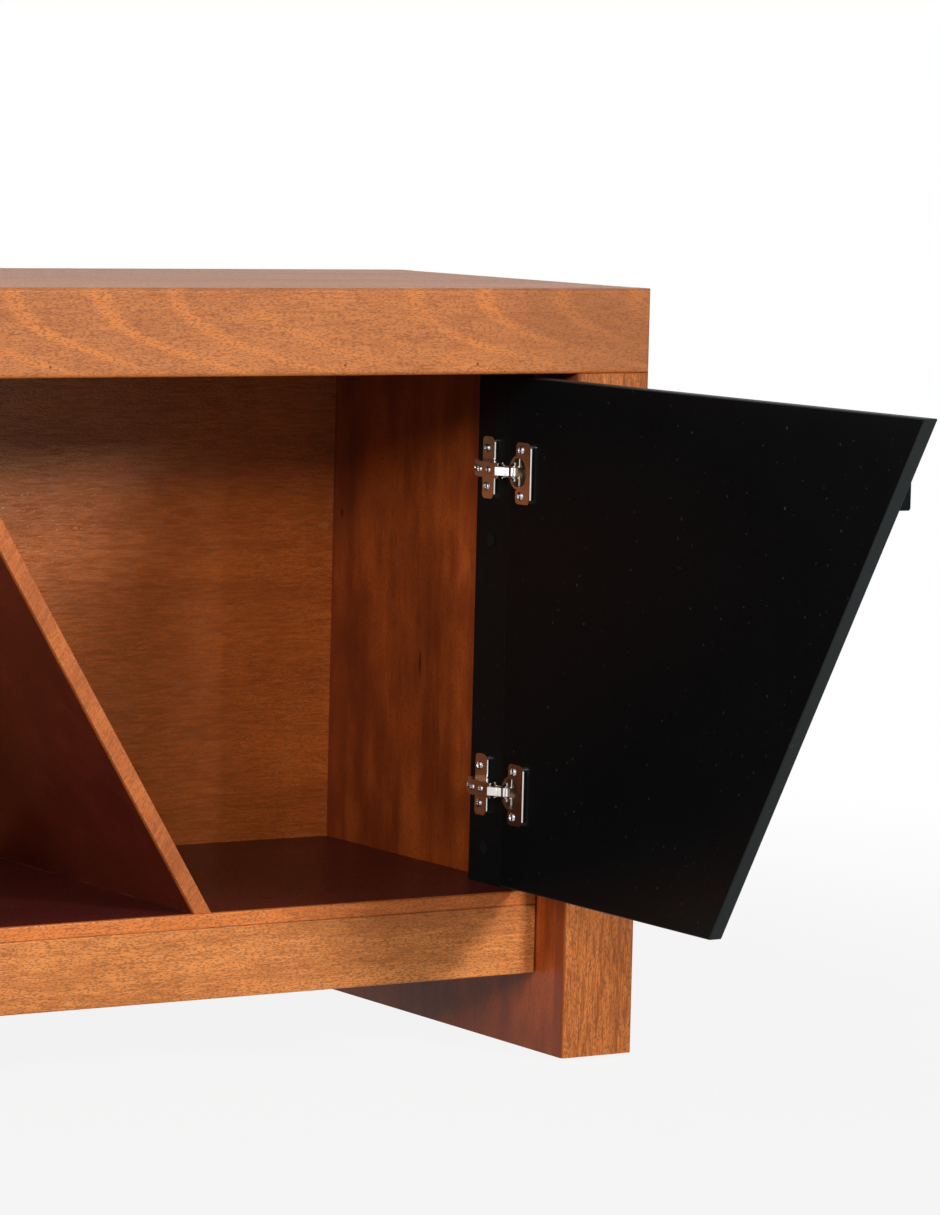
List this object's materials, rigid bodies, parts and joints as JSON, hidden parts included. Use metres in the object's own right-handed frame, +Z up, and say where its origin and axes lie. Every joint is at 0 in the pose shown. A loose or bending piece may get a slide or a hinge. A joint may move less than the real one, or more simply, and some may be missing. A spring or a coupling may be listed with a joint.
{
  "type": "tv stand",
  "caption": "Low television stand with a thick top on thick ends, an open middle bay between leaning dividers and a hinged slanted door at each end.",
  "frame": {"origin": "on the floor, under the middle of the stand's width and depth, where the middle foot stands", "axes": "+X along the stand to the right as seen from the front, +Y to the back, +Z up"},
  "size_m": [1.6, 0.9134, 0.644],
  "materials": {
    "veneer": "satin lacquer over stained red-brown veneer and lipping",
    "dark_veneer": "satin lacquer over dark stained veneer",
    "back_veneer": "satin lacquer over golden-brown veneer",
    "core_wood": "raw softwood, hidden",
    "black_lacquer": "black satin lacquer",
    "nickel": "bright nickel plate",
    "plated_steel": "zinc plate",
    "black_plastic": "fine matte",
    "nylon": "dull brown nylon"
  },
  "bodies": {
    "stand": {"back_base_rail": "veneer", "back_panel": "back_veneer", "back_panel_screws": "plated_steel", "base_bearers": "core_wood", "base_bolts": "plated_steel", "batten_caps": "black_plastic", "batten_screws": "plated_steel", "cable_grommet": "black_plastic", "centre_foot": "plated_steel", "divider_dowels": "core_wood", "floor_board": "dark_veneer", "floor_glides": "nylon", "floor_lipping": "veneer", "foot_socket": "nylon", "front_apron": "veneer", "hinge_arm_pins": "nickel", "hinge_arm_screws": "nickel", "hinge_plate_screws": "nickel", "left_divider": "dark_veneer", "left_divider_lipping": "veneer", "left_end_back_lipping": "veneer", "left_end_core_blocks": "core_wood", "left_end_front_lipping": "veneer", "left_end_inner_skin": "veneer", "left_end_outer_skin": "veneer", "left_hinge_arms": "nickel", "left_hinge_batten": "black_lacquer", "left_hinge_plates": "nickel", "right_divider": "dark_veneer", "right_divider_lipping": "veneer", "right_end_back_lipping": "veneer", "right_end_core_blocks": "core_wood", "right_end_front_lipping": "veneer", "right_end_inner_skin": "veneer", "right_end_outer_skin": "veneer", "right_hinge_arms": "nickel", "right_hinge_batten": "black_lacquer", "right_hinge_plates": "nickel", "top_back_lipping": "veneer", "top_core_ribs": "core_wood", "top_dowels": "core_wood", "top_front_lipping": "veneer", "top_left_lipping": "veneer", "top_lower_skin": "veneer", "top_right_lipping": "veneer", "top_upper_skin": "veneer"},
    "right_door": {"right_door": "black_lacquer", "right_knob": "black_lacquer", "right_hinge_cups": "nickel", "right_hinge_cup_screws": "nickel", "right_hinge_cup_pins": "nickel"},
    "right_short_links": {"right_hinge_short_links": "nickel"},
    "right_long_links": {"right_hinge_long_links": "nickel"},
    "left_door": {"left_door": "black_lacquer", "left_knob": "black_lacquer", "left_hinge_cups": "nickel", "left_hinge_cup_screws": "nickel", "left_hinge_cup_pins": "nickel"},
    "left_short_links": {"left_hinge_short_links": "nickel"},
    "left_long_links": {"left_hinge_long_links": "nickel"}
  },
  "joints": [
    {"name": "right_short_link_pivot", "type": "hinge", "parent": "stand", "child": "right_short_links", "pos_m": [0.69812, -0.13789, 0.357], "axis": [0, 0, 1], "range_deg": [-0.5, 50.81]},
    {"name": "right_door_pivot", "type": "hinge", "parent": "right_short_links", "child": "right_door", "pos_m": [0.70022, -0.15942, 0.357], "axis": [0, 0, 1], "range_deg": [-140.31, 0]},
    {"name": "right_long_link_pivot", "type": "hinge", "parent": "stand", "child": "right_long_links", "pos_m": [0.69462, -0.11208, 0.357], "axis": [0, 0, 1], "range_deg": [-0.5, 31.82]},
    {"name": "left_short_link_pivot", "type": "hinge", "parent": "stand", "child": "left_short_links", "pos_m": [-0.69812, -0.13789, 0.357], "axis": [0, 0, -1], "range_deg": [-50.81, 0.5]},
    {"name": "left_door_pivot", "type": "hinge", "parent": "left_short_links", "child": "left_door", "pos_m": [-0.71603, -0.15002, 0.357], "axis": [0, 0, -1], "range_deg": [0, 140.31]},
    {"name": "left_long_link_pivot", "type": "hinge", "parent": "stand", "child": "left_long_links", "pos_m": [-0.69462, -0.11208, 0.357], "axis": [0, 0, -1], "range_deg": [-31.82, 0.5]}
  ],
  "couplings": [
    {"joint": "right_short_link_pivot", "follows": "right_door_pivot", "ratio": -0.35856},
    {"joint": "right_long_link_pivot", "follows": "right_door_pivot", "ratio": -0.22322},
    {"joint": "left_short_link_pivot", "follows": "left_door_pivot", "ratio": -0.35856},
    {"joint": "left_long_link_pivot", "follows": "left_door_pivot", "ratio": -0.22322}
  ]
}
